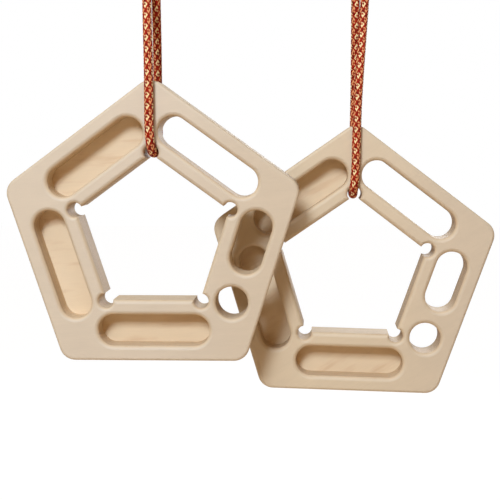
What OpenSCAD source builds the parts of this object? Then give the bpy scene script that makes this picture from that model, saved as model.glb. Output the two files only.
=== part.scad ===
// A pair of portable hangboards for climbing training.
// Each board is a plywood pentagon ring with finger holds milled along its five sides.
// A doubled cord passes through a notch at the top inner corner, one strand before the
// board and one behind it, and is tied above in a loop that hangs on a hook.
// X runs to the right, Y away from the viewer and Z up.
// The origin is where the left loop bears on its hook.

/* [Board] */
// Length of one side of the pentagon before its corners are rounded
side_len = 142; // [132:1:156]
// Thickness of the board
board_t = 30; // [28:0.5:36]
// Radius of the five outer corners
corner_r = 12.5; // [8:0.5:18]
// Width of the wooden ring, square to a side
ring_w = 47.5; // [45:0.5:52]
// Rounding of the outer edges
edge_round = 2; // [1:0.25:3]

/* [Plies] */
// Thickness of the front ply and of the back ply
face_ply_t = 3.5; // [3.2:0.1:4.5]

/* [Finger holds] */
// Length of the long slot on the upper right side
long_len = 88.5; // [76:0.5:92]
// Width of the long slot
long_w = 24; // [20:0.5:28]
// Length of the short slot on the right side
short_len = 50.5; // [44:0.5:54]
// Width of the short slot
short_w = 25; // [20:0.5:28]
// How far the short slot sits up its side from the side's middle
short_shift = 18; // [16:0.5:21]
// Diameter of the one-finger hole on the right side
mono_d = 25; // [20:0.5:27]
// How far the one-finger hole sits down its side from the side's middle
mono_shift = 31; // [29:0.5:34]
// Length of each blind pocket
pocket_len = 87; // [76:0.5:92]
// Width of each blind pocket
pocket_w = 24.5; // [20:0.5:28]
// Depth of each blind pocket
pocket_depth = 20; // [16:0.5:22]
// Rounding of the rims of the holds and of the middle opening
hold_round = 3; // [1.5:0.25:3]

/* [Cord notches] */
// Diameter of the notch at each inner corner
notch_d = 11.5; // [10.5:0.25:13]
// How far a notch's centre lies outside the inner corner
notch_out = 1; // [0.5:0.25:2]
// Rounding of a notch's rims
notch_round = 2.5; // [1.5:0.25:2.75]

/* [Cord] */
// Diameter of the cord
cord_d = 7; // [6:0.25:8]
// Height of the knot
knot_h = 30; // [26:1:36]
// Width of the knot at its middle
knot_w = 27; // [24:1:34]
// Length of the two cord tails that stand out of the knot's top
tail_len = 16; // [10:1:24]

/* [Pair] */
// How far the right board hangs to the right of the left one
pair_right = 154.5; // [120:0.5:260]
// How far the right board hangs behind the left one
pair_back = 52.5; // [46:0.5:90]
// How far the right board hangs below the left one
pair_down = 35; // [0:0.5:60]
// Lean of the right board and its cord, turned clockwise
pair_lean = 1.6; // [0:0.1:4]

/* [Hidden] */
$fn = 96;

// How far a cutter runs past the wood
over = 2;

// The pentagon and the ring
corners = [0, 1, 2, 3, 4];
turn = 360 / len(corners);
half_turn = turn / 2;
circum_r = side_len / (2 * sin(half_turn));
apothem = circum_r * cos(half_turn);
opening_apothem = apothem - ring_w;
opening_r = opening_apothem / cos(half_turn);
opening_side = 2 * opening_apothem * tan(half_turn);
hold_apothem = apothem - ring_w / 2;
straight_edge = side_len - 2 * corner_r * tan(half_turn);
corner_centre_r = circum_r - corner_r / cos(half_turn);

// Directions of the sides, seen from the front
top_corner = 90;
upper_right = top_corner - half_turn;
right_side = upper_right - turn;
bottom_side = right_side - turn;
lower_left = bottom_side - turn;
upper_left = lower_left - turn;
pocket_sides = [upper_left, lower_left, bottom_side];

// The plies, as depths behind the front face
core_t = (pocket_depth - face_ply_t) / 2;
depth_1 = face_ply_t;
depth_2 = depth_1 + core_t;
depth_3 = pocket_depth;
depth_4 = board_t - face_ply_t;

// The notches
notch_r = notch_d / 2;
notch_centre_r = opening_r + notch_out;

// A rounded edge is a little flatter than a quarter circle and meets both faces at a slight angle
flatness = 1.25;
// The rounding of a corner is wider than that of the sides by this, and runs on past them by this angle
corner_step = 0.1;
corner_overrun = 1;

// The left cord's two strands, from the knot down to the middle of the notch.
// Each entry holds the front strand's X, the back strand's X, the distance of both from the
// middle of the board's thickness, and the height above the notch's centre.
strands = [
  [-3.7, 3.7, 0.7, 168], [-3.7, 3.7, 0.7, 158], [-3.4, 3.4, 2, 146], [-2.8, 3, 4.4, 134],
  [-2.2, 2.6, 7.8, 122], [-1.6, 2.2, 11.4, 110], [-1, 1.8, 14.8, 98], [-0.5, 1.5, 17.4, 86],
  [-0.1, 1.3, 19, 74], [0, 1.2, 19.5, 62], [0, 1.1, 19.7, 50], [0, 1, 20, 38],
  [-0.1, 1, 20.4, 28], [0, 1, 20.8, 20], [0.3, 1, 21, 13.7], [0.6, 1, 19.9, 8.3],
  [0.9, 1, 16.9, 3.8], [1, 1, 12.4, 0.8], [1, 1, 7, -0.3], [1, 1, 0, -0.3]
];
// The strands were laid out for a board of 30 with a cord of 7, and part with the board and cord
strand_gap = 2;
spread = (board_t + cord_d + strand_gap) / (30 + 7 + strand_gap);
halfway = len(strands) - 1;
// The whole route, down the front, through the notch and up the back, with depths from the front face
cord_route = concat(
  [for (p = strands) [p[0], board_t / 2 - spread * p[2], p[3]]],
  [for (k = [halfway - 1 : -1 : 0]) let (p = strands[k]) [p[1], board_t / 2 + spread * p[2], p[3]]]
);
// The loop above the knot, each point measured from the middle of the knot's top
loop_route = [
  [-4, 0, 0], [-4.2, 0, 6], [-6.4, 0, 13], [-10, 0, 20], [-13, 0, 27], [-14, 0, 34],
  [-12.9, 0, 39.4], [-9.9, 0, 43.9], [-5.4, 0, 46.9], [0, 0, 48], [5.4, 0, 46.9],
  [9.9, 0, 43.9], [12.9, 0, 39.4], [14, 0, 34], [13, 0, 27], [10, 0, 20], [6.4, 0, 13],
  [4.2, 0, 6], [4, 0, 0]
];
cord_sides = 12;
last = len(cord_route) - 1;
knot_base = [
  (cord_route[0].x + cord_route[last].x) / 2,
  (cord_route[0].y + cord_route[last].y) / 2,
  cord_route[0].z
];
loop_top = max([for (p = loop_route) p.z]);
hang_point = knot_base + [0, 0, knot_h + loop_top - cord_d / 2];
knot_end_r = 10;
tail_shift = 6.5;
tail_root = 2;

wood_face = "#dcc9ae";
wood_core = "#d2b78f";
cord_red = "#a3301f";

function polar(r, a) = [r * cos(a), r * sin(a)];
function unit(v) = v / norm(v);

// Direction of a route at its point i
function heading(pts, i) =
  unit(pts[min(i + 1, len(pts) - 1)] - pts[max(i - 1, 0)]);

// One ring of a tube: square to the route, and turned by the direction named by ref
function ring(pts, i, r, ref) =
  let (t = heading(pts, i), a = unit(ref - (ref * t) * t), b = cross(t, a))
  [for (k = [0 : cord_sides - 1])
    pts[i] + r * (cos(360 * k / cord_sides) * a + sin(360 * k / cord_sides) * b)];

// A tube of the cord's diameter along a route
module tube(pts, ref) {
  n = cord_sides;
  m = len(pts);
  polyhedron(
    points = [for (i = [0 : m - 1]) each ring(pts, i, cord_d / 2, ref)],
    faces = concat(
      [[for (k = [0 : n - 1]) k]],
      [for (i = [0 : m - 2], k = [0 : n - 1]) [i * n + k, (i + 1) * n + k, i * n + (k + 1) % n]],
      [for (i = [0 : m - 2], k = [0 : n - 1])
        [(i + 1) * n + k, (i + 1) * n + (k + 1) % n, i * n + (k + 1) % n]],
      [[for (k = [n - 1 : -1 : 0]) (m - 1) * n + k]]
    )
  );
}

// Puts a shape on the middle of the ring at one side, with its length along the side
module on_side(direction, shift = 0) {
  rotate([0, 0, direction - top_corner])
    translate([shift, hold_apothem, 0])
      children();
}

// Outline of the board: a pentagon with round corners
module board_outline() {
  polygon([for (k = corners, s = [-1, 1])
    polar(corner_centre_r, top_corner + k * turn) + polar(corner_r, top_corner + k * turn + s * half_turn)]);
  for (k = corners) translate(polar(corner_centre_r, top_corner + k * turn)) circle(r = corner_r);
}

module opening_pentagon() {
  polygon([for (k = corners) polar(opening_r, top_corner + k * turn)]);
}

// The middle opening: a pentagon with a round notch at each corner
module opening_outline() {
  opening_pentagon();
  for (k = corners) rotate([0, 0, k * turn]) translate([0, notch_centre_r]) circle(r = notch_r);
}

// A slot with round ends
module slot_outline(length, width) {
  square([length - width, width], center = true);
  for (s = [-1, 1]) translate([s * (length - width) / 2, 0]) circle(d = width);
}

// Every hold that runs right through the board
module through_holds() {
  on_side(upper_right) slot_outline(long_len, long_w);
  on_side(right_side, -short_shift) slot_outline(short_len, short_w);
  on_side(right_side, mono_shift) circle(d = mono_d);
}

// The blind pockets
module pockets() {
  for (a = pocket_sides) on_side(a) slot_outline(pocket_len, pocket_w);
}

// Section cut away to round an edge by a width: the wood is at +X and its face at height 0
module rounding_section(width) {
  centre = width * (1 + sqrt(2 * pow(flatness, 2) - 1)) / 2;
  difference() {
    translate([-over, -centre]) square(centre + over);
    translate([centre, -centre]) circle(r = flatness * width);
  }
}

// Half the section of a hole that opens at a face above it, with a rounded rim
module rim_section(half_w, depth, width) {
  translate([0, -depth]) square([half_w, depth + over]);
  translate([half_w, 0]) rounding_section(width);
}

// Cutter for a slot or hole with a rounded rim
module rimmed_slot(length, width, depth) {
  straight = length - width;
  if (straight > 0) {
    rotate([90, 0, 90]) linear_extrude(straight, center = true) {
      rim_section(width / 2, depth, hold_round);
      mirror([1, 0]) rim_section(width / 2, depth, hold_round);
    }
    for (s = [0, 1]) rotate([0, 0, 180 * s]) translate([straight / 2, 0, 0])
      rotate([0, 0, -90]) rotate_extrude(angle = 180) rim_section(width / 2, depth, hold_round);
  } else {
    rotate_extrude() rim_section(width / 2, depth, hold_round);
  }
}

// Cutter for the rounding along a straight edge, which runs along X with the wood at +Y
module edge_cutter(length, width) {
  rotate([90, 0, 90]) linear_extrude(length, center = true) rounding_section(width);
}

// Rounds the front edge of the board's outline
module outer_edge_cutters() {
  for (k = corners) rotate([0, 0, k * turn]) {
    rotate([0, 0, half_turn]) translate([0, apothem, 0]) rotate([0, 0, 180])
      edge_cutter(straight_edge, edge_round);
    translate([0, corner_centre_r, 0]) rotate([0, 0, top_corner - half_turn - corner_overrun])
      rotate_extrude(angle = turn + 2 * corner_overrun)
        translate([corner_r, 0]) mirror([1, 0]) rounding_section(edge_round + corner_step);
  }
}

// Rounds the front edge of the middle opening between its notches.
// The cutters stop inside the notches, clear of each other.
module opening_edge_cutters() {
  for (k = corners) rotate([0, 0, k * turn + half_turn]) translate([0, opening_apothem, 0])
    edge_cutter(opening_side - 2 * hold_round, hold_round);
}

// Cutters for the five notches, with rounded rims. Each starts its turn inside the opening.
module notch_cutters() {
  for (k = corners) rotate([0, 0, k * turn]) translate([0, notch_centre_r, 0])
    rotate([0, 0, -top_corner]) rotate_extrude() rim_section(notch_r, face_ply_t + over, notch_round);
}

// A layer of the board between two depths, in plan, with the front face at height 0
module layer(from, to) {
  translate([0, 0, -to]) linear_extrude(to - from) children();
}

// Outer ply with every rim rounded, which has the pockets only at the front
module face_ply(has_pockets) {
  cut_t = face_ply_t + over;
  difference() {
    layer(0, face_ply_t) difference() {
      board_outline();
      opening_pentagon();
    }
    outer_edge_cutters();
    opening_edge_cutters();
    notch_cutters();
    on_side(upper_right) rimmed_slot(long_len, long_w, cut_t);
    on_side(right_side, -short_shift) rimmed_slot(short_len, short_w, cut_t);
    on_side(right_side, mono_shift) rimmed_slot(mono_d, mono_d, cut_t);
    if (has_pockets) for (a = pocket_sides) on_side(a) rimmed_slot(pocket_len, pocket_w, cut_t);
  }
}

module front_ply() { face_ply(true); }

// Inner ply, cut through by the pockets too where it lies in front of their floor
module core_ply(from, to, has_pockets) {
  layer(from, to) difference() {
    board_outline();
    opening_outline();
    through_holds();
    if (has_pockets) pockets();
  }
}

// The back ply faces the other way
module back_ply() {
  translate([0, 0, -board_t]) mirror([0, 0, 1]) face_ply(false);
}

// The knot that ties the two strands together under the loop, with two cut tails on top
module knot() {
  bulge = knot_w / 2;
  side_r = (pow(knot_h / 2, 2) + pow(bulge - knot_end_r, 2)) / (2 * (bulge - knot_end_r));
  translate(knot_base + [0, 0, knot_h / 2]) rotate_extrude() intersection() {
    translate([bulge - side_r, 0]) circle(r = side_r, $fn = 360);
    translate([0, -knot_h / 2]) square([bulge, knot_h]);
  }
  for (s = [-1, 1]) translate(knot_base + [0, s * tail_shift, knot_h - tail_root])
    cylinder(h = tail_len + tail_root, d = cord_d - 1);
}

// Stands a board's plan upright with its front face towards the viewer
module upright() {
  rotate([90, 0, 0]) children();
}

// Puts a set's board in place: the notch at the top is under the hang point
module place_left() {
  translate(-hang_point - [0, 0, notch_centre_r]) children();
}

module place_right() {
  place_left() translate([pair_right, pair_back, -pair_down]) rotate([0, pair_lean, 0]) children();
}

module at_notch() {
  translate([0, 0, notch_centre_r]) children();
}

module left_front_ply() { color(wood_face) place_left() upright() front_ply(); }
module left_core_ply_1() { color(wood_core) place_left() upright() core_ply(depth_1, depth_2, true); }
module left_core_ply_2() { color(wood_core) place_left() upright() core_ply(depth_2, depth_3, true); }
module left_core_ply_3() { color(wood_core) place_left() upright() core_ply(depth_3, depth_4, false); }
module left_back_ply() { color(wood_face) place_left() upright() back_ply(); }
module left_cord() { color(cord_red) place_left() at_notch() tube(cord_route, [1, 0, 0]); }
module left_knot() { color(cord_red) place_left() at_notch() knot(); }
module left_hang_loop() {
  color(cord_red) place_left() at_notch() translate(knot_base + [0, 0, knot_h]) tube(loop_route, [0, 1, 0]);
}

module right_front_ply() { color(wood_face) place_right() upright() front_ply(); }
module right_core_ply_1() { color(wood_core) place_right() upright() core_ply(depth_1, depth_2, true); }
module right_core_ply_2() { color(wood_core) place_right() upright() core_ply(depth_2, depth_3, true); }
module right_core_ply_3() { color(wood_core) place_right() upright() core_ply(depth_3, depth_4, false); }
module right_back_ply() { color(wood_face) place_right() upright() back_ply(); }
module right_cord() {
  color(cord_red) place_right() at_notch() mirror([1, 0, 0]) tube(cord_route, [1, 0, 0]);
}
module right_knot() { color(cord_red) place_right() at_notch() mirror([1, 0, 0]) knot(); }
module right_hang_loop() {
  color(cord_red) place_right() at_notch() mirror([1, 0, 0]) translate(knot_base + [0, 0, knot_h])
    tube(loop_route, [0, 1, 0]);
}

left_front_ply();
left_core_ply_1();
left_core_ply_2();
left_core_ply_3();
left_back_ply();
left_cord();
left_knot();
left_hang_loop();
right_front_ply();
right_core_ply_1();
right_core_ply_2();
right_core_ply_3();
right_back_ply();
right_cord();
right_knot();
right_hang_loop();
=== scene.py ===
"""Looks for a pair of plywood hangboards that hang on braided cord.

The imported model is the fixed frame. This script hangs a camera in front of it, lays a braided
cord along each cord's route, winds the knots, dresses the boards as plywood that is milled
down through its veneers, and lights the pair in a pale studio.

All places are in metres: X runs to the right, Y away from the viewer and Z up. The origin is
where the left loop bears on its hook.
"""

import logging
import math
from dataclasses import dataclass
from enum import Enum
from typing import TypeAlias

import bmesh
import bpy
import numpy as np
from mathutils import Matrix, Vector

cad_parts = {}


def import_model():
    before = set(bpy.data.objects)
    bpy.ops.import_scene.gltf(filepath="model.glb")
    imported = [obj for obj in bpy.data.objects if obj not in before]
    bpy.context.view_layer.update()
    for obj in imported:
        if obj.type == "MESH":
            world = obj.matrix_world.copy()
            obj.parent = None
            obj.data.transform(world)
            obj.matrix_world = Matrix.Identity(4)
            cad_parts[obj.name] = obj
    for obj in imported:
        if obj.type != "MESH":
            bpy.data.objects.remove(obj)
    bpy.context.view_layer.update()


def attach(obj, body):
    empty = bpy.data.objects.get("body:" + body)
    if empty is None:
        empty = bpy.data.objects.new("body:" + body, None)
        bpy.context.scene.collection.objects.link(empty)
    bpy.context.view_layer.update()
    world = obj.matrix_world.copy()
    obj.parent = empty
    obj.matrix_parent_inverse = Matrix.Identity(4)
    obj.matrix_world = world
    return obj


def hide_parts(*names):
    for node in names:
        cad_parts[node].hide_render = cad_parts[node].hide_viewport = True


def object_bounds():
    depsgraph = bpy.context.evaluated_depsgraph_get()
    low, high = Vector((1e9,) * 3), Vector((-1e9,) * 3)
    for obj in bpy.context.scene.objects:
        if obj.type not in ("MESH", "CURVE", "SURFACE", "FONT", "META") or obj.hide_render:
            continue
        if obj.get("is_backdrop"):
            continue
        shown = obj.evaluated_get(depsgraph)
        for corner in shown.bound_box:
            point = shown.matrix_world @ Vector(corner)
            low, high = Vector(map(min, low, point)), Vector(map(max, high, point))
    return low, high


LOG = logging.getLogger("hangboards")
MM = 0.001
# UV map of a cord: U is metres along it and V is turns round it.
TUBE_MAP = "tube"
# Vertices of a cord that are nearer than this become one, in metres.
WELD_GAP = 0.002 * MM
WHITE = (1.0, 1.0, 1.0, 1.0)

Colour: TypeAlias = tuple[float, float, float]
Point: TypeAlias = tuple[float, float, float]
Span: TypeAlias = tuple[float, float]
Signal: TypeAlias = "Wire | float"
Paint: TypeAlias = "Wire | Colour"


def linear(red: int, green: int, blue: int) -> Colour:
    """Turns a colour as it is seen on a screen into the values that a shader works with.

    Args:
        red: Red, 0 to 255.
        green: Green, 0 to 255.
        blue: Blue, 0 to 255.

    Returns:
        The same colour as linear values from 0 to 1.
    """

    def channel(value: int) -> float:
        """Straightens one channel."""
        part = value / 255
        return part / 12.92 if part <= 0.04045 else ((part + 0.055) / 1.055) ** 2.4

    return channel(red), channel(green), channel(blue)


class Wire:
    """A value in a shader. Arithmetic on it adds Math nodes."""

    def __init__(self, sheet: "FinishSheet", socket: bpy.types.NodeSocket | None) -> None:
        """Keeps the socket that carries the value, and the sheet that it is drawn on."""
        self.sheet = sheet
        self.socket = socket

    def _math(self, operation: str, first: Signal, second: Signal = 0.0) -> "Wire":
        """Adds one Math node."""
        return self.sheet.add("ShaderNodeMath", {"operation": operation}, {0: first, 1: second})

    def __add__(self, other: Signal) -> "Wire":
        """Sum."""
        return self._math("ADD", self, other)

    def __radd__(self, other: Signal) -> "Wire":
        """Sum with the value on the right."""
        return self._math("ADD", other, self)

    def __sub__(self, other: Signal) -> "Wire":
        """Difference."""
        return self._math("SUBTRACT", self, other)

    def __rsub__(self, other: Signal) -> "Wire":
        """Difference with the value on the right."""
        return self._math("SUBTRACT", other, self)

    def __mul__(self, other: Signal) -> "Wire":
        """Product."""
        return self._math("MULTIPLY", self, other)

    def __rmul__(self, other: Signal) -> "Wire":
        """Product with the value on the right."""
        return self._math("MULTIPLY", other, self)

    def __truediv__(self, other: Signal) -> "Wire":
        """Quotient."""
        return self._math("DIVIDE", self, other)

    def __pow__(self, other: Signal) -> "Wire":
        """Power."""
        return self._math("POWER", self, other)

    def __mod__(self, other: Signal) -> "Wire":
        """Remainder, which is never negative."""
        return self._math("FLOORED_MODULO", self, other)

    def __abs__(self) -> "Wire":
        """Size without its sign."""
        return self._math("ABSOLUTE", self)

    def __lt__(self, other: Signal) -> "Wire":
        """1 where the value is the lower one, or else 0."""
        return self._math("LESS_THAN", self, other)

    def floor(self) -> "Wire":
        """Whole number below."""
        return self._math("FLOOR", self)

    def sine(self) -> "Wire":
        """Sine of an angle in radians."""
        return self._math("SINE", self)

    def highest(self, other: Signal) -> "Wire":
        """The higher of two values."""
        return self._math("MAXIMUM", self, other)

    def equals(self, whole: float) -> "Wire":
        """1 where a whole number is the given one, or else 0."""
        return abs(self - whole) < 0.5

    def towards(self, other: "Wire", share: Signal) -> "Wire":
        """This value where the share is 0, and the other one where it is 1."""
        return self + (other - self) * share

    def ramp(self, start: float, end: float) -> "Wire":
        """Rises softly from 0 to 1 between two values, and stays there outside them.

        Args:
            start: Value that gives 0.
            end: Value that gives 1. It may be the lower one.

        Returns:
            The eased value.
        """
        settings = {"interpolation_type": "SMOOTHSTEP", "clamp": True}
        sockets = {0: self, 1: start, 2: end, 3: 0.0, 4: 1.0}
        return self.sheet.add("ShaderNodeMapRange", settings, sockets)


class FinishSheet:
    """The node tree of one finish, with one method that adds any node."""

    def __init__(self, tree: bpy.types.NodeTree) -> None:
        """Starts from an empty tree."""
        self.tree = tree
        tree.nodes.clear()

    def add(
        self,
        kind: str,
        settings: dict[str, object] | None = None,
        sockets: dict[int | str, object] | None = None,
        output: int | str = 0,
    ) -> Wire:
        """Adds a node, sets it up and links it.

        Args:
            kind: The node's type.
            settings: Its own settings, which are set first.
            sockets: Its inputs by name or number, each a value, a colour, a vector or a Wire.
            output: The output that is handed on, by name or number.

        Returns:
            The chosen output.
        """
        node = self.tree.nodes.new(kind)
        for name, value in (settings or {}).items():
            setattr(node, name, value)
        for key, value in (sockets or {}).items():
            if isinstance(value, Wire):
                self.tree.links.new(value.socket, node.inputs[key])
            else:
                node.inputs[key].default_value = value
        return Wire(self, node.outputs[output] if node.outputs else None)

    def out(self, wire: Wire, name: str) -> Wire:
        """Another output of the node that a wire comes from."""
        return Wire(self, wire.socket.node.outputs[name])

    def parts(self, vector: Wire) -> tuple[Wire, Wire, Wire]:
        """The three parts of a vector."""
        split = self.add("ShaderNodeSeparateXYZ", sockets={0: vector})
        return split, self.out(split, "Y"), self.out(split, "Z")

    def join(self, x: Signal, y: Signal, z: Signal) -> Wire:
        """A vector from three values."""
        return self.add("ShaderNodeCombineXYZ", sockets={0: x, 1: y, 2: z})

    def seen_from(self, vector: Wire, origin: Point, turn: float) -> Wire:
        """Places measured from another origin, with axes that are turned about Y."""
        sockets = {"Vector": vector, "Location": origin, "Rotation": (0, turn, 0)}
        return self.add("ShaderNodeMapping", {"vector_type": "TEXTURE"}, sockets)

    def blend_vectors(self, factor: Signal, first: Wire, second: Wire) -> Wire:
        """Mixes two vectors."""
        sockets = {0: factor, 4: first, 5: second}
        return self.add("ShaderNodeMix", {"data_type": "VECTOR"}, sockets, 1)

    def blend(self, factor: Signal, first: Paint, second: Paint, way: str = "MIX") -> Wire:
        """Mixes two colours.

        Args:
            factor: Share of the second colour.
            first: Colour below.
            second: Colour on top.
            way: How the second is laid on the first.

        Returns:
            The mixed colour.
        """
        settings = {"data_type": "RGBA", "blend_type": way, "clamp_factor": True}
        below = first if isinstance(first, Wire) else (*first, 1)
        above = second if isinstance(second, Wire) else (*second, 1)
        return self.add("ShaderNodeMix", settings, {0: factor, 6: below, 7: above}, 2)

    def toned(self, colour: Paint, tone: Signal) -> Wire:
        """A colour made lighter or darker by a value."""
        grey = self.join(tone, tone, tone)
        return self.blend(1.0, colour, grey, "MULTIPLY")

    def noise(self, vector: Wire, waves: Point, detail: float, rough: float) -> Wire:
        """Soft noise.

        Args:
            vector: Places that it is read at.
            waves: Waves for each metre along the three axes.
            detail: Finer octaves on it.
            rough: Share that each finer octave keeps.

        Returns:
            Values from 0 to 1.
        """
        scaled = self.add("ShaderNodeVectorMath", {"operation": "MULTIPLY"}, {0: vector, 1: waves})
        sockets = {"Vector": scaled, "Scale": 1.0, "Detail": detail, "Roughness": rough}
        return self.add("ShaderNodeTexNoise", {"noise_dimensions": "3D"}, sockets)

    def chance(self, vector: Wire) -> Wire:
        """One random value for each whole vector."""
        return self.add("ShaderNodeTexWhiteNoise", {"noise_dimensions": "3D"}, {"Vector": vector})

    def surface(self, colour: Wire, rough: Signal, height: Wire, depth: float, **fixed: object) -> None:
        """Ends the sheet in a surface.

        Args:
            colour: Base colour.
            rough: Roughness.
            height: Height of the relief, 0 to 1.
            depth: How deep that relief is, in metres.
            fixed: Sockets that are the same all over, with _ for a blank in a name.
        """
        bump = {"Distance": depth, "Strength": 1.0, "Height": height}
        relief = self.add("ShaderNodeBump", sockets=bump)
        sockets = {"Base Color": colour, "Roughness": rough, "Normal": relief}
        sockets |= {name.replace("_", " "): value for name, value in fixed.items()}
        shader = self.add("ShaderNodeBsdfPrincipled", sockets=sockets)
        self.add("ShaderNodeOutputMaterial", sockets={"Surface": shader})


def new_finish(name: str) -> tuple[bpy.types.Material, FinishSheet]:
    """Starts a material.

    Args:
        name: Its name.

    Returns:
        The material and its empty sheet.
    """
    material = bpy.data.materials.new(name)
    material.use_nodes = True
    return material, FinishSheet(material.node_tree)


class Hand(Enum):
    """Which way round a set hangs: the right one is a mirror image of the left one."""

    LEFT = 1
    RIGHT = -1


@dataclass(frozen=True)
class HangingPlace:
    """Where a set hangs, and how far it leans.

    Attributes:
        side: Name that its nodes start with.
        hand: Which way round its cord runs.
        face_centre: Middle of the board's front face, in metres.
        lean_degrees: Lean, clockwise as seen from the front.
        notch_rise: Height of the top notch above that middle, in metres.
    """

    side: str
    hand: Hand
    face_centre: Point
    lean_degrees: float = 0.0
    notch_rise: float = 63.079 * MM

    @property
    def lean(self) -> float:
        """The lean in radians."""
        return math.radians(self.lean_degrees)

    def place(self, points: np.ndarray) -> np.ndarray:
        """Puts points in the frame.

        Args:
            points: Points measured from the top notch at the front face, in millimetres.

        Returns:
            The points in metres.
        """
        local = np.asarray(points, float) * MM * (self.hand.value, 1, 1) + (0, 0, self.notch_rise)
        turned = local @ np.array(Matrix.Rotation(self.lean, 3, "Y")).T
        return turned + self.face_centre


class Route:
    """A smooth line through a few points, cut into short equal steps.

    Attributes:
        LEAST_STEPS: Fewest steps of any line.
        length: Its length, in metres.
        steps: Number of its steps.
        along: Distance along it at every step, in metres.
        line: Place of every step, in metres.
    """

    LEAST_STEPS = 8

    def __init__(self, points: np.ndarray, step: float) -> None:
        """Runs the line through the points.

        Args:
            points: Points in metres.
            step: Length of one step, in metres.
        """
        dense = self._curve(np.asarray(points, float))
        run = np.concatenate([[0.0], np.cumsum(self._gaps(dense))])
        self.length = float(run[-1])
        self.steps = max(self.LEAST_STEPS, round(self.length / step))
        self.along = np.linspace(0, self.length, self.steps + 1)
        self.line = np.column_stack([np.interp(self.along, run, dense[:, k]) for k in range(3)])

    @staticmethod
    def _gaps(points: np.ndarray) -> np.ndarray:
        """Distance from each point to the next."""
        return np.linalg.norm(np.diff(points, axis=0), axis=1)

    @classmethod
    def _curve(cls, points: np.ndarray, fine: int = 24) -> np.ndarray:
        """Bends a smooth curve through every point, without loops where points lie close.

        Args:
            points: The points.
            fine: Short chords between two points.

        Returns:
            Points along the curve.
        """
        padded = np.vstack([2 * points[0] - points[1], points, 2 * points[-1] - points[-2]])
        knots = np.concatenate([[0.0], np.cumsum(np.sqrt(cls._gaps(padded)))])
        pieces = []
        for k in range(1, len(padded) - 2):
            at = np.linspace(knots[k], knots[k + 1], fine, endpoint=False)[:, None]
            low, start, end, high = knots[k - 1 : k + 3]
            p0, p1, p2, p3 = padded[k - 1 : k + 3]
            a1 = ((start - at) * p0 + (at - low) * p1) / (start - low)
            a2 = ((end - at) * p1 + (at - start) * p2) / (end - start)
            a3 = ((high - at) * p2 + (at - end) * p3) / (high - end)
            b1 = ((end - at) * a1 + (at - low) * a2) / (end - low)
            b2 = ((high - at) * a2 + (at - start) * a3) / (high - start)
            pieces.append(((end - at) * b1 + (at - start) * b2) / (end - start))
        pieces.append(points[-1:])
        return np.vstack(pieces)

    def frames(self, front: np.ndarray) -> tuple[np.ndarray, np.ndarray]:
        """Carries two cross directions along the line without twisting them.

        Args:
            front: Direction that the first one starts from.

        Returns:
            The two cross directions at every step.
        """
        heading = np.gradient(self.line, axis=0)
        heading /= np.linalg.norm(heading, axis=1, keepdims=True)
        first = np.empty_like(heading)
        current = np.asarray(front, float)
        for k, way in enumerate(heading):
            current = current - way * (current @ way)
            current = current / np.linalg.norm(current)
            first[k] = current
        return first, np.cross(heading, first)


@dataclass(frozen=True)
class Braid:
    """The weave of the cord: two sets of yarns, s and t, that cross over and under each other.

    Attributes:
        columns: Yarns in each set.
        over: Yarns that one stitch passes over, and then under.
        pick: Length of one crossing along the cord, in metres.
        core_radius: Radius between the yarns, in metres.
        rise: How far a yarn stands out of that, in metres.
        front_column: Column of yarns that the cord shows to its front.
        arch: Power that rounds a stitch along its yarn. A low one makes it flat on top.
        crown: Power that rounds it across its yarn.
        around: Faces round the cord.
        step: Length of one face, in metres.
    """

    columns: int = 16
    over: int = 2
    pick: float = 2.11 * MM
    core_radius: float = 3.1 * MM
    rise: float = 0.45 * MM
    front_column: float = 1.77
    arch: float = 0.4
    crown: float = 0.7
    around: int = 80
    step: float = 0.54 * MM

    @property
    def repeat(self) -> int:
        """Crossings after which a yarn does the same again."""
        return 2 * self.over

    @property
    def turnover(self) -> float:
        """Halfway between the last crossing over and the first one under."""
        return self.over - 0.5

    def lobes(self, along: np.ndarray, turn: np.ndarray) -> np.ndarray:
        """Height of the weave.

        Args:
            along: Distance along the cord, in metres.
            turn: Part of a turn round it.

        Returns:
            Height from 0 in a gap to 1 on top of a yarn.
        """
        across = turn * self.columns + self.front_column
        row = along / self.pick
        s_run = across + row
        t_run = across - row
        s_yarn = np.floor(s_run)
        t_yarn = np.floor(t_run)
        start = self.repeat * np.floor((s_yarn + t_yarn) / self.repeat)
        s_on_top = (s_yarn + t_yarn) % self.repeat < self.turnover
        s_length = (t_run - start + s_yarn) / self.over
        t_length = (s_run - start - self.over + t_yarn) / self.over
        lengthways = np.where(s_on_top, s_length, t_length)
        sideways = np.where(s_on_top, s_run - s_yarn, t_run - t_yarn)
        arch = np.sin(np.pi * np.clip(lengthways, 0, 1)) ** self.arch
        return np.sin(np.pi * sideways) ** self.crown * arch


@dataclass(frozen=True)
class Stitch:
    """The stitch that lies on top at a point of the cord, as its finish reads it.

    Attributes:
        s_on_top: 1 where it is a yarn of set s, or else 0.
        lengthways: Part of the way along the stitch.
        sideways: Part of the way across it.
        column: Number of its column round the cord.
        row: Its number along the cord.
        yarn: Number of its yarn.
    """

    s_on_top: Wire
    lengthways: Wire
    sideways: Wire
    column: Wire
    row: Wire
    yarn: Wire


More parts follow.
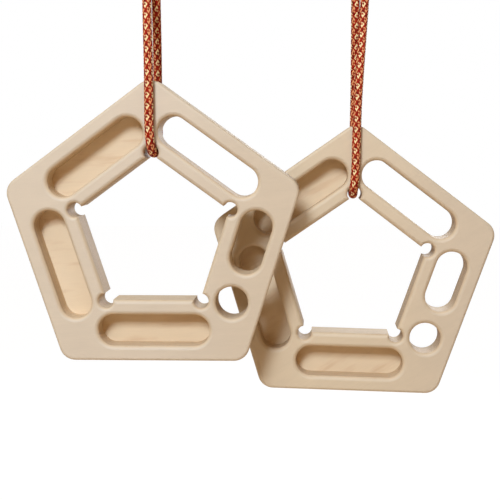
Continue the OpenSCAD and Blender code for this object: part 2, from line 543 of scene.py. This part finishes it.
@dataclass(frozen=True)
class BraidFinish:
    """Red polyester braid with pale flecks.

    A fleck is one stitch and the tip of the stitch before it.

    Attributes:
        braid: The weave that it colours.
        bright: The lighter red yarn.
        deep: The darker red yarn.
        pale: A fleck in one column.
        blush: A fleck in the next column.
        warm: The red stitch that follows a fleck.
        fleck_picks: Crossings from one fleck to the next along the cord.
        tip: Parts of the stitch before a fleck between which it turns pale.
        red_spread: Draws that give the darkest and the lightest red.
        stitch_seed: Keeps the draws for the stitches apart from those for the yarns.
        threads: Threads side by side in a yarn.
        gap_painted_shade: Tone in a gap between yarns: painted shade in the hollow.
        painted_lift_to_top: Tone that a yarn gains up to its top: a painted lift from that shade to its
            crown.
        fleck_flat: How much less of that painted lift a fleck gets.
        fleck_tone: Tone that a fleck gains all over.
        thread_painted_shade: Tone that a thread gains at its middle: painted shade between the threads of
            a yarn.
        rough: Roughness in a gap.
        polish: How much smoother a yarn is at its top.
        thread_relief: Share of the relief that the threads make.
        relief_depth: Depth of the relief, in metres.
    """

    braid: Braid
    bright: Colour = linear(198, 34, 6)
    deep: Colour = linear(126, 16, 3)
    pale: Colour = linear(255, 220, 154)
    blush: Colour = linear(238, 160, 100)
    warm: Colour = linear(186, 48, 14)
    fleck_picks: int = 4
    tip: Span = (0.52, 0.74)
    red_spread: Span = (0.15, 0.85)
    stitch_seed: int = 3
    threads: int = 4
    gap_painted_shade: float = 0.3
    painted_lift_to_top: float = 0.64
    fleck_flat: float = 0.3
    fleck_tone: float = 0.44
    thread_painted_shade: float = 0.08
    rough: float = 0.82
    polish: float = 0.12
    thread_relief: float = 0.2
    relief_depth: float = 0.12 * MM

    def _stitch(self, sheet: FinishSheet) -> Stitch:
        """Finds the stitch on top from the cord's own map.

        Args:
            sheet: The sheet that it is drawn on.

        Returns:
            The stitch.
        """
        over, repeat = self.braid.over, self.braid.repeat
        along, turn, _ = sheet.parts(sheet.add("ShaderNodeUVMap", {"uv_map": TUBE_MAP}))
        across = turn * self.braid.columns + self.braid.front_column
        row = along / self.braid.pick
        s_run = across + row
        t_run = across - row
        s_yarn = s_run.floor()
        t_yarn = t_run.floor()
        column = ((s_yarn + t_yarn) / repeat).floor()
        s_on_top = (s_yarn + t_yarn) % repeat < self.braid.turnover
        s_length = (t_run - column * repeat + s_yarn) / over
        t_length = (s_run - column * repeat - over + t_yarn) / over
        s_row = s_yarn - column * over + 1
        t_row = column * over + 1 - t_yarn
        return Stitch(
            s_on_top=s_on_top,
            lengthways=t_length.towards(s_length, s_on_top),
            sideways=(t_run - t_yarn).towards(s_run - s_yarn, s_on_top),
            column=column,
            row=t_row.towards(s_row, s_on_top),
            yarn=t_yarn.towards(s_yarn, s_on_top),
        )

    def _red(self, sheet: FinishSheet, top: Stitch) -> Wire:
        """Draws the red of a stitch, half by its yarn and half by itself.

        Args:
            sheet: The sheet that it is drawn on.
            top: The stitch.

        Returns:
            The red.
        """
        columns = self.braid.columns
        yarn = sheet.chance(sheet.join(top.yarn % columns, top.s_on_top, 0.0))
        place = sheet.join(top.column % (columns / 2), top.row, top.s_on_top + self.stitch_seed)
        draw = yarn * 0.5 + sheet.chance(place) * 0.5
        return sheet.blend(draw.ramp(*self.red_spread), self.deep, self.bright)

    def make(self, name: str) -> bpy.types.Material:
        """Draws the finish.

        Args:
            name: Name of the material.

        Returns:
            The material.
        """
        material, sheet = new_finish(name)
        top = self._stitch(sheet)
        arch = (top.lengthways * math.pi).sine().highest(0.0) ** self.braid.arch
        lobe = (top.sideways * math.pi).sine().highest(0.0) ** self.braid.crown * arch
        thread = (top.sideways * (2 * math.pi * self.threads)).sine() * 0.5 + 0.5

        odd = top.column % 2
        fleck_row = (top.row - odd * (self.fleck_picks / 2)) % self.fleck_picks
        tip = fleck_row.equals(self.fleck_picks - 1) * top.lengthways.ramp(*self.tip)
        fleck = fleck_row.equals(0) + tip
        light = sheet.blend(abs(odd - top.s_on_top), self.pale, self.blush)
        colour = sheet.blend(fleck_row.equals(1), self._red(sheet, top), self.warm)
        colour = sheet.blend(fleck, colour, light)

        # Painted shade: darker in the gaps between yarns and threads, lighter on each yarn's top.
        tone = self.gap_painted_shade + lobe * (self.painted_lift_to_top - fleck * self.fleck_flat) + fleck * self.fleck_tone
        sheet.surface(
            sheet.toned(colour, tone + thread * self.thread_painted_shade),
            self.rough - lobe * self.polish,
            lobe * (1 - self.thread_relief) + thread * lobe * self.thread_relief,
            self.relief_depth,
            Sheen_Weight=0.03,
            Sheen_Roughness=0.5,
            Specular_IOR_Level=0.12,
        )
        return material


class CordEnd(Enum):
    """How an end of a cord is finished."""

    HIDDEN = "cut flat inside a knot"
    SEALED = "melted to a round tip"


@dataclass
class CordLength:
    """One length of the braided cord, as a mesh tube along a route.

    Attributes:
        braid: The weave.
        route: The line that it follows.
        end: Finish of its far end.
        front: Direction that the map starts from.
        tip_floor: Least square of a round tip's radius, as a share.
    """

    braid: Braid
    route: Route
    end: CordEnd = CordEnd.HIDDEN
    front: Point = (0, -1, 0)
    tip_floor: float = 0.02

    def radius(self, along: np.ndarray, turn: np.ndarray) -> np.ndarray:
        """Radius of the tube.

        Args:
            along: Distance along the cord, in metres.
            turn: Part of a turn round it.

        Returns:
            The radius, in metres.
        """
        plain = self.braid.core_radius + self.braid.rise * self.braid.lobes(along, turn)
        if self.end is CordEnd.HIDDEN:
            return plain
        left = np.clip((self.route.length - along) / self.braid.core_radius, 0.0, 1.0)
        return plain * np.sqrt(np.clip(1 - (1 - left) ** 2, self.tip_floor, 1.0))

    def add_to(self, bm: bmesh.types.BMesh) -> None:
        """Wraps a grid round the route.

        Args:
            bm: Mesh that the tube is added to.
        """
        steps = self.route.steps
        uv = bm.loops.layers.uv[TUBE_MAP]
        made = bmesh.ops.create_grid(bm, x_segments=steps, y_segments=self.braid.around, size=1.0)
        verts = made["verts"]
        flat = np.array([v.co[:2] for v in verts]) / 2 + 0.5
        ring = np.rint(flat[:, 0] * steps).astype(int)
        along = self.route.along[ring]
        turn = flat[:, 1]
        first, second = self.route.frames(np.array(self.front))
        angle = (2 * math.pi * turn)[:, None]
        out = np.cos(angle) * first[ring] + np.sin(angle) * second[ring]
        placed = self.route.line[ring] + out * self.radius(along, turn)[:, None]
        maps = dict(zip(verts, np.column_stack([along, turn]).tolist()))
        for vert, place in zip(verts, placed.tolist()):
            vert.co = place
        for face in {f for v in verts for f in v.link_faces}:
            face.smooth = True
            for corner in face.loops:
                corner[uv].uv = maps[corner.vert]
        bmesh.ops.remove_doubles(bm, verts=verts, dist=WELD_GAP)


def cord_piece(name: str, lengths: list[CordLength], finish: bpy.types.Material) -> bpy.types.Object:
    """Makes one piece from one or more lengths of cord, with their ends closed.

    Args:
        name: Name of the piece.
        lengths: Its lengths of cord.
        finish: Its material.

    Returns:
        The piece.
    """
    bm = bmesh.new()
    bm.loops.layers.uv.new(TUBE_MAP)
    for cord in lengths:
        cord.add_to(bm)
    rims = [edge for edge in bm.edges if edge.is_boundary]
    bmesh.ops.holes_fill(bm, edges=rims, sides=0)
    bmesh.ops.recalc_face_normals(bm, faces=bm.faces)
    mesh = bpy.data.meshes.new(name)
    bm.to_mesh(mesh)
    bm.free()
    mesh.materials.append(finish)
    piece = bpy.data.objects.new(name, mesh)
    bpy.context.scene.collection.objects.link(piece)
    LOG.info("%s: %d faces", name, len(mesh.polygons))
    return piece


@dataclass
class CordSet:
    """The doubled cord of one board, its knot and the loop above it.

    Attributes:
        place: Where the set hangs.
        braid: Weave of the cord.
        cord_d: Diameter of the cord, in metres. Not used.
        path_stride: Steps of the route from one point of the declared path to the next. Not used.
        knot_base: Middle of the knot's lower end, in millimetres from the notch.
        knot_h: Height of the knot, in millimetres.
        coil_r: Radius of the wound cord's middle line in the knot, in millimetres.
        coil_pitch: Rise of a winding in one turn, in millimetres.
        coil_inset: Height left free below the first turn and above the last, in millimetres.
        coil_points: Steps of a winding.
        tuck: How far the start of a winding is tucked in, in millimetres.
        tuck_share: Part of it in which it comes out again.
        tail_share: Part of it, at its end, in which it goes in to the tail.
        tail_step: Height from one point of a tail to the next, in millimetres.
        tail_rise: Height of the tails above the knot, in millimetres.
        tail_shift: Distance of the tails from the knot's middle, in millimetres.
    """

    place: HangingPlace
    braid: Braid
    cord_d: float = 7 * MM
    path_stride: int = 4
    knot_base: Point = (0, 15, 168)
    knot_h: float = 30
    coil_r: float = 9.8
    coil_pitch: float = 14.4
    coil_inset: float = 3.6
    coil_points: int = 30
    tuck: float = 3.5
    tuck_share: float = 1 / 9
    tail_share: float = 0.1
    tail_step: float = 5
    tail_rise: float = 16
    tail_shift: float = 6.5

    def cord_route(self) -> np.ndarray:
        """Lays the cord from the knot down the front, through the notch and up the back.

        Returns:
            Points in millimetres from the notch.
        """
        return np.array(
            [
                [-3.7, 14.3, 168], [-3.7, 14.3, 158], [-3.4, 13, 146], [-2.8, 10.6, 134],
                [-2.2, 7.2, 122], [-1.6, 3.6, 110], [-1, 0.2, 98], [-0.5, -2.4, 86],
                [-0.1, -4, 74], [0, -4.5, 62], [0, -4.7, 50], [0, -5, 38], [-0.1, -5.4, 28],
                [0, -5.8, 20], [0.3, -6, 13.7], [0.6, -4.9, 8.3], [0.9, -1.9, 3.8],
                [1, 2.6, 0.8], [1, 8, -0.3], [1, 15, -0.3], [1, 22, -0.3], [1, 27.4, 0.8],
                [1, 31.9, 3.8], [1, 34.9, 8.3], [1, 36, 13.7], [1, 35.8, 20], [1, 35.4, 28],
                [1, 35, 38], [1.1, 34.7, 50], [1.2, 34.5, 62], [1.3, 34, 74], [1.5, 32.4, 86],
                [1.8, 29.8, 98], [2.2, 26.4, 110], [2.6, 22.8, 122], [3, 19.4, 134],
                [3.4, 17, 146], [3.7, 15.7, 158], [3.7, 15.7, 168],
            ]
        )  # fmt: skip

    def loop_route(self) -> np.ndarray:
        """Lays the loop from the knot's top round the hook and back.

        Returns:
            Points in millimetres from the notch.
        """
        half = np.array(
            [
                [-4, 0, 0], [-4.2, 0, 6], [-6.4, 0, 13], [-10, 0, 20], [-13, 0, 27],
                [-14, 0, 34], [-12.9, 0, 39.4], [-9.9, 0, 43.9], [-5.4, 0, 46.9], [0, 0, 48],
            ]
        )  # fmt: skip
        whole = np.vstack([half, half[-2::-1] * (-1, 1, 1)])
        return whole + self.knot_base + (0, 0, self.knot_h)

    def winding_route(self, start_turn: float) -> np.ndarray:
        """Winds a cord round the strands. It ends in a tail that stands up before or behind them.

        Args:
            start_turn: Where it starts, as part of a turn round the knot.

        Returns:
            Points in millimetres from the notch.
        """
        low = self.coil_inset
        high = self.knot_h - self.coil_inset
        rise = (high - low) / self.coil_pitch
        # Parts of a turn: 0.25 is behind the strands and 0.75 before them.
        last_turn = 0.25 if start_turn < 0.5 else 0.75
        turns = rise - (start_turn + rise - last_turn) % 0.5
        points = []
        for k in range(self.coil_points + 1):
            part = k / self.coil_points
            angle = 2 * math.pi * (start_turn + turns * part)
            tucked = max(0.0, 1 - part / self.tuck_share)
            turned_in = max(0.0, (part - 1 + self.tail_share) / self.tail_share)
            reach = self.coil_r - tucked * self.tuck - turned_in * (self.coil_r - self.tail_shift)
            height = low + (high - low) * part
            points.append([reach * math.cos(angle), reach * math.sin(angle), height])
        side = math.copysign(self.tail_shift, points[-1][1])
        tail = (high + self.tail_step, high + 2 * self.tail_step, self.knot_h + self.tail_rise)
        points += [[0, side, height] for height in tail]
        return np.array(points) + self.knot_base

    def core_route(self, side: float) -> np.ndarray:
        """One of the two straight strands inside the knot, in millimetres from the notch."""
        run = np.array([[3.7, 0, -1], [3.8, 0, 10], [3.9, 0, 20], [4, 0, 31]])
        return run * (side, 1, 1) + self.knot_base

    def length_of(self, points: np.ndarray, end: CordEnd = CordEnd.HIDDEN) -> CordLength:
        """A length of cord along points given in millimetres from the notch."""
        return CordLength(self.braid, Route(self.place.place(points), self.braid.step), end)

    def build(self, finish: bpy.types.Material) -> None:
        """Args:
            finish: Material of the cord.
        """
        side = self.place.side
        strand = self.length_of(self.cord_route())
        loop = self.length_of(self.loop_route())
        windings = [self.length_of(self.winding_route(turn), CordEnd.SEALED) for turn in (0.0, 0.5)]
        cores = [self.length_of(self.core_route(way)) for way in (-1, 1)]
        cord = cord_piece(f"{side}_braided_cord", [strand], finish)
        knot = cord_piece(f"{side}_wound_knot", windings + cores, finish)
        ring = cord_piece(f"{side}_braided_loop", [loop], finish)
        for piece, node in ((cord, "cord"), (knot, "knot"), (ring, "hang_loop")):
            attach(piece, "cords")
            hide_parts(f"{side}_{node}")
        for piece, length, mates in ((cord, strand, [knot]), (ring, loop, [])):
            LOG.info("%s: %.3f m long", piece.name, length.route.length)


class Veneer(Enum):
    """Which plies of a board a finish is for. The value is the record's name for it."""

    FACE = "face_veneer"
    CORE = "core_veneer"


@dataclass(frozen=True)
class Pattern:
    """One layer of noise in the wood.

    Attributes:
        waves: Waves for each metre along the grain, through the board and across the grain.
        detail: Finer octaves on it.
        rough: Share that each finer octave keeps.
        tone: How much it lightens the colour.
        relief: How much it raises the surface.
    """

    waves: Point
    detail: float
    rough: float = 0.5
    tone: float = 0.0
    relief: float = 0.0

    def draw(self, sheet: FinishSheet, vector: Wire) -> Wire:
        """Draws it on a sheet, as values from 0 to 1."""
        return sheet.noise(vector, self.waves, self.detail, self.rough)


@dataclass(frozen=True)
class PlywoodFinish:
    """Sanded plywood, shown on its faces, its milled floors and its cut edges.

    Slopes are 0 on a face and 1 on a wall that stands square to it. Depths count from the
    middle of the board's thickness, in metres.

    Attributes:
        place: Where the board hangs.
        face: Colour of the outer veneers on the left.
        shaded_right_face: Their colour on the right, darker and warmer as painted shade for light falling
            off.
        right_shade_reach: Distance to the right where that painted shade is full, in metres.
        inner: Colour of the veneers inside.
        end_grain: Colour of a cut edge across the grain.
        glue: Colour of a glue line.
        grain_degrees: Turn of the face's grain, anticlockwise from the level.
        half_t: Half the board's thickness, in metres.
        veneer_t: Thickness of an inner veneer, in metres. The outer ones are half as thick.
        veneer_shift: Shift of the pattern from one veneer to the next, in metres.
        veneer_spread: How much darker than the lightest a veneer may be on a wall.
        veneer_seed: Seed of that draw.
        skin_depth: Depths between which the outer veneer's colour takes over.
        rim_slope: Slopes between which a rim loses some of that colour.
        rim_share: How much of it a rim loses.
        glue_half: Half the width of a glue line with its soft edge, in metres.
        glue_depth: Depths between which the glue lines come out, from the rim inwards.
        glue_slope: Slopes between which they come out.
        glue_share: Share of glue in the colour of such a line.
        glue_relief: How deep it lies.
        figure: The broad figure of the wood.
        fibre: Its fibres.
        pores: Its pores.
        cloud: Its slow change of tone.
        streak: Levels of the figure between which a dark streak comes out.
        streak_share: How dark a streak is.
        pore_edge: Levels between which a pore comes out.
        end_slope: Levels between which end grain comes out.
        end_share: Share of the end grain's colour where it does.
        wall_share: Share of it on any wall.
        tone: Tone where nothing lightens the wood.
        rough: Roughness of the smoothest fibre.
        fibre_rough: Roughness that a fibre adds.
        end_rough: Roughness that end grain adds.
        relief_depth: Depth of the relief, in metres.
    """

    place: HangingPlace
    face: Colour = linear(213, 192, 159)
    shaded_right_face: Colour = linear(208, 185, 150)
    right_shade_reach: float = 100 * MM
    inner: Colour = linear(232, 207, 165)
    end_grain: Colour = linear(206, 170, 126)
    glue: Colour = linear(104, 68, 38)
    grain_degrees: float = 0.0
    half_t: float = 15 * MM
    veneer_t: float = 2.5 * MM
    veneer_shift: Point = (0.37, 0.11, 0.23)
    veneer_spread: float = 0.1
    veneer_seed: float = 5.0
    skin_depth: Span = (13.2 * MM, 13.9 * MM)
    rim_slope: Span = (0.05, 0.5)
    rim_share: float = 0.6
    glue_half: float = 0.48 * MM
    glue_depth: Span = (13.2 * MM, 12.4 * MM)
    glue_slope: Span = (0.1, 0.6)
    glue_share: float = 0.75
    glue_relief: float = 0.5
    figure: Pattern = Pattern((20, 120, 120), 3.0, 0.55, tone=0.1, relief=0.3)
    fibre: Pattern = Pattern((70, 900, 900), 2.0, 0.6, tone=0.07, relief=0.5)
    pores: Pattern = Pattern((260, 2600, 2600), 1.0, tone=-0.06, relief=-0.4)
    cloud: Pattern = Pattern((22, 22, 22), 2.0, tone=0.08)
    streak: Span = (0.48, 0.72)
    streak_share: float = 0.5
    pore_edge: Span = (0.66, 0.78)
    end_slope: Span = (0.05, 0.8)
    end_share: float = 0.3
    wall_share: float = 0.12
    tone: float = 0.855
    rough: float = 0.52
    fibre_rough: float = 0.12
    end_rough: float = 0.1
    relief_depth: float = 0.05 * MM

    @property
    def grain(self) -> float:
        """The grain's turn in radians."""
        return math.radians(self.grain_degrees)

    def _with_grain(self, sheet: FinishSheet, board: Wire, layer: Wire, crossed: Wire) -> Wire:
        """Turns places on the board so that X runs with the grain of their own veneer.

        Args:
            sheet: The sheet that it is drawn on.
            board: Places measured from the middle of the face.
            layer: Number of the veneer.
            crossed: 1 in a veneer that runs across the face's grain, or else 0.

        Returns:
            The turned places, shifted from one veneer to the next.
        """
        level = sheet.seen_from(board, (0, 0, 0), -self.grain)
        upright = sheet.seen_from(board, (0, 0, 0), -self.grain - math.pi / 2)
        run = sheet.blend_vectors(crossed, level, upright)
        shift = sheet.join(*(layer * part for part in self.veneer_shift))
        return sheet.add("ShaderNodeVectorMath", {"operation": "ADD"}, {0: run, 1: shift})

    def _cut_across(self, side_on: Wire, up_on: Wire, crossed: Wire) -> Wire:
        """How squarely a surface cuts through the grain of its veneer.

        Args:
            side_on: How far the surface faces to the right.
            up_on: How far it faces up.
            crossed: 1 in a veneer that runs across the face's grain, or else 0.

        Returns:
            0 along the grain up to 1 square to it.
        """
        tilt = self.grain - self.place.lean
        straight = abs(side_on * math.cos(tilt) + up_on * math.sin(tilt))
        turned = abs(side_on * -math.sin(tilt) + up_on * math.cos(tilt))
        return straight.towards(turned, crossed)

    def make(self, veneer: Veneer) -> bpy.types.Material:
        """Draws the finish for the face plies or the core plies.

        Args:
            veneer: Which plies it is for.

        Returns:
            The material.
        """
        material, sheet = new_finish(f"{self.place.side}_{veneer.value}")
        where = sheet.add("ShaderNodeTexCoord", output="Object")
        board = sheet.seen_from(where, self.place.face_centre, self.place.lean)
        side, depth, _ = sheet.parts(board)
        from_middle = abs(depth - self.half_t)
        layers = depth / self.veneer_t + 0.5
        layer = layers.floor()
        crossed = layer % 2

        side_on, out_of_face, up_on = sheet.parts(sheet.out(where, "Normal"))
        wall = 1 - out_of_face * out_of_face
        end_on = (self._cut_across(side_on, up_on, crossed) * wall).ramp(*self.end_slope)
        seam = abs(layers - layer - 0.5).ramp(0.5 - self.glue_half / self.veneer_t, 0.5)
        seam = seam * from_middle.ramp(*self.glue_depth)

        run = self._with_grain(sheet, board, layer, crossed)
        figure = self.figure.draw(sheet, run)
        fibre = self.fibre.draw(sheet, run)
        pore = self.pores.draw(sheet, run).ramp(*self.pore_edge)
        cloud = self.cloud.draw(sheet, board)

        # Painted shade: the face veneer darkens and warms from left to right, for light that falls off.
        skin = sheet.blend(side.ramp(0.0, self.right_shade_reach), self.face, self.shaded_right_face)
        streaked = sheet.blend(figure.ramp(*self.streak) * self.streak_share, self.inner, self.end_grain)
        outer = from_middle.ramp(*self.skin_depth) * (1 - wall.ramp(*self.rim_slope) * self.rim_share)
        colour = sheet.blend(outer, streaked, skin)
        colour = sheet.blend(wall * self.wall_share + end_on * self.end_share, colour, self.end_grain)
        colour = sheet.blend(seam * wall.ramp(*self.glue_slope) * self.glue_share, colour, self.glue)

        tone = self.tone + figure * self.figure.tone + cloud * self.cloud.tone
        tone = tone + fibre * self.fibre.tone + pore * self.pores.tone
        draw = sheet.chance(sheet.join(layer, self.veneer_seed, 0.0))
        tone = tone - draw * wall * self.veneer_spread
        relief = fibre * self.fibre.relief + figure * self.figure.relief
        relief = relief + pore * self.pores.relief - seam * self.glue_relief
        rough = self.rough + fibre * self.fibre_rough + end_on * self.end_rough
        sheet.surface(sheet.toned(colour, tone), rough, relief, self.relief_depth, Specular_IOR_Level=0.4)
        return material


@dataclass
class Board:
    """One plywood ring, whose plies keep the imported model's shapes.

    Attributes:
        finish: Look of its plywood.
        plies: Its plies from front to back, each with its kind of veneer.
    """

    finish: PlywoodFinish
    plies: tuple[tuple[str, Veneer], ...] = (
        ("front_ply", Veneer.FACE),
        ("core_ply_1", Veneer.CORE),
        ("core_ply_2", Veneer.CORE),
        ("core_ply_3", Veneer.CORE),
        ("back_ply", Veneer.FACE),
    )

    def dress(self) -> None:
        """Gives every ply its finish."""
        finishes = {veneer: self.finish.make(veneer) for veneer in Veneer}
        for ply, veneer in self.plies:
            piece = bpy.data.objects[f"{self.finish.place.side}_{ply}"]
            for slot in piece.material_slots:
                slot.material = finishes[veneer]
            LOG.info("%s: dressed with %s", piece.name, finishes[veneer].name)


@dataclass(frozen=True)
class LightBox:
    """A soft rectangular light that shines on the middle of the pair.

    Attributes:
        name: Its name.
        at: Its place, in metres.
        size: Its width and height, in metres.
        power: Its power in watts.
        tint: Its colour.
    """

    name: str
    at: Point
    size: tuple[float, float]
    power: float
    tint: Colour = (1.0, 1.19, 1.53)


@dataclass
class Studio:
    """Camera, lights, floor and background.

    Attributes:
        eye: Place of the camera, in metres.
        ahead: Direction in which it looks.
        right: Direction of the picture's right side.
        focal_pixels: Focal length in pixels of the photograph.
        frame_pixels: Width of the photograph in pixels.
        near: Nearest distance that the camera sees, in metres.
        far: Farthest distance that it sees, in metres.
        middle: Middle of the pair, in metres.
        lights: The main light from the upper left in front, one from above and one from behind.
        fill: Level of the soft light from its brightest direction.
        least_fill: Level of the light that comes from all round.
        fill_from: Direction that the soft light is brightest from.
        fill_focus: Power that gathers it round that direction.
        fill_tint: Its colour, warm as the light that pale wood throws back.
        floor_z: Height of the floor, in metres.
        floor_reach: Distance from the floor's middle to its edges, in metres.
        floor_colour: Colour that the floor throws back on the pair.
        floor_white: Strength of the white that the camera sees on it.
        floor_share: Share of that white. The rest keeps the shadow.
    """

    eye: Point = (0.12734, -0.83568, -0.22990)
    ahead: Point = (-0.063, 0.9925, -0.1051)
    right: Point = (0.998, 0.0627, -0.0063)
    focal_pixels: float = 1083.7
    frame_pixels: float = 500.0
    near: float = 0.01
    far: float = 50.0
    middle: Point = (0.06, 0.0, -0.32)
    lights: tuple[LightBox, ...] = (
        LightBox("key_light", (-0.3, -1.9, 0.84), (0.47, 0.6), 33.5),
        LightBox("high_light", (0.06, -0.7, 1.1), (0.5, 0.4), 5.5),
        LightBox("back_light", (0.5, 1.5, 0.08), (0.8, 0.8), 11.0, (1.0, 1.06, 1.13)),
    )
    fill: float = 0.36
    least_fill: float = 0.02
    fill_from: Point = (0.0, -0.98, 0.2)
    fill_focus: int = 4
    fill_tint: Colour = (1.0, 0.54, 0.2)
    floor_z: float = -0.8
    floor_reach: float = 6.0
    floor_colour: Colour = (0.8, 0.6, 0.42)
    floor_white: float = 1.1
    floor_share: float = 0.9

    def hang_camera(self) -> None:
        """Makes the camera at the photograph's viewing angle."""
        ahead = Vector(self.ahead).normalized()
        right = Vector(self.right)
        right = (right - ahead * right.dot(ahead)).normalized()
        up = right.cross(ahead)
        data = bpy.data.cameras.new("viewpoint")
        data.lens = self.focal_pixels / self.frame_pixels * data.sensor_width
        data.clip_start = self.near
        data.clip_end = self.far
        camera = bpy.data.objects.new("viewpoint", data)
        turn = Matrix((right, up, -ahead)).transposed()
        camera.matrix_world = Matrix.Translation(self.eye) @ turn.to_4x4()
        bpy.context.scene.collection.objects.link(camera)
        bpy.context.scene.camera = camera

    def hang_light(self, box: LightBox) -> None:
        """Adds a light.

        Args:
            box: What it is like.
        """
        data = bpy.data.lights.new(box.name, "AREA")
        data.shape = "RECTANGLE"
        data.size, data.size_y = box.size
        data.energy = box.power
        data.color = box.tint
        lamp = bpy.data.objects.new(box.name, data)
        aim = (Vector(self.middle) - Vector(box.at)).to_track_quat("-Z", "Y")
        lamp.matrix_world = Matrix.Translation(box.at) @ aim.to_matrix().to_4x4()
        bpy.context.scene.collection.objects.link(lamp)

    @staticmethod
    def seen_directly(sheet: FinishSheet) -> Wire:
        """Tells what is shown from what only throws light on the pair.

        Args:
            sheet: The sheet that it is drawn on.

        Returns:
            1 where the camera, a mirror or a clear thing shows a surface, or else 0.
        """
        path = sheet.add("ShaderNodeLightPath", output="Is Camera Ray")
        seen = path.highest(sheet.out(path, "Is Glossy Ray"))
        return seen.highest(sheet.out(path, "Is Transmission Ray"))

    def wrap_world(self) -> None:
        """Fills the scene with soft light, mostly from the front, and shows it white."""
        world = bpy.data.worlds.new("pale_studio")
        world.use_nodes = True
        bpy.context.scene.world = world
        sheet = FinishSheet(world.node_tree)
        way = sheet.add("ShaderNodeTexCoord", output="Generated")
        towards = {0: way, 1: self.fill_from}
        cosine = sheet.add("ShaderNodeVectorMath", {"operation": "DOT_PRODUCT"}, towards, "Value")
        level = (cosine * 0.5 + 0.5) ** self.fill_focus * self.fill + self.least_fill
        glow = {"Color": (*self.fill_tint, 1), "Strength": level}
        soft = sheet.add("ShaderNodeBackground", sockets=glow)
        white = sheet.add("ShaderNodeBackground", sockets={"Color": WHITE, "Strength": 1.0})
        shares = {0: self.seen_directly(sheet), 1: soft, 2: white}
        shown = sheet.add("ShaderNodeMixShader", sockets=shares)
        sheet.add("ShaderNodeOutputWorld", sockets={"Surface": shown})

    def lay_floor(self) -> None:
        """Lays a pale floor under the pair, which keeps its shadow."""
        material, sheet = new_finish("pale_floor")
        matt = sheet.add("ShaderNodeBsdfDiffuse", sockets={"Color": (*self.floor_colour, 1)})
        glow = {"Color": WHITE, "Strength": self.floor_white}
        white = sheet.add("ShaderNodeEmission", sockets=glow)
        share = self.seen_directly(sheet) * self.floor_share
        shown = sheet.add("ShaderNodeMixShader", sockets={0: share, 1: matt, 2: white})
        sheet.add("ShaderNodeOutputMaterial", sockets={"Surface": shown})
        bm = bmesh.new()
        bmesh.ops.create_grid(bm, x_segments=1, y_segments=1, size=self.floor_reach)
        bmesh.ops.translate(bm, vec=(0, 0, self.floor_z), verts=bm.verts)
        mesh = bpy.data.meshes.new("studio_floor")
        bm.to_mesh(mesh)
        bm.free()
        mesh.materials.append(material)
        floor = bpy.data.objects.new("studio_floor", mesh)
        bpy.context.scene.collection.objects.link(floor)
        floor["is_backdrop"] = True

    def light(self) -> None:
        """Hangs every light."""
        for box in self.lights:
            self.hang_light(box)


def keep_sizes(after: object) -> None:
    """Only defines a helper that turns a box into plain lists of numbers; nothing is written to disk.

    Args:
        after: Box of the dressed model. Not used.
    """

    def plain(box: object) -> list:
        """A box as plain lists of numbers."""
        return [[float(value) for value in corner] for corner in box]


def main() -> None:
    """Builds the look of the pair in order."""
    logging.basicConfig(level=logging.INFO, format="%(message)s")
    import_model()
    bpy.context.scene.view_settings.view_transform = "Standard"

    left = HangingPlace("left", Hand.LEFT, face_centre=(0.0, -0.015, -0.305579))
    right_centre = (0.1545, 0.0375, -0.340579)
    right = HangingPlace("right", Hand.RIGHT, right_centre, lean_degrees=1.6)
    studio = Studio()
    studio.hang_camera()

    braid = Braid()
    rope = BraidFinish(braid).make("red_flecked_braid")
    for place in (left, right):
        CordSet(place, braid).build(rope)

    left_wood = PlywoodFinish(left, grain_degrees=4.0)
    # Painted shade: the right board hangs farther back, so its face is a little darker and warmer.
    right_wood = PlywoodFinish(right, face=linear(214, 190, 151), grain_degrees=32.0)
    for wood in (left_wood, right_wood):
        Board(wood).dress()

    studio.wrap_world()
    studio.lay_floor()
    studio.light()
    keep_sizes(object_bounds())


if __name__ == "__main__":
    main()
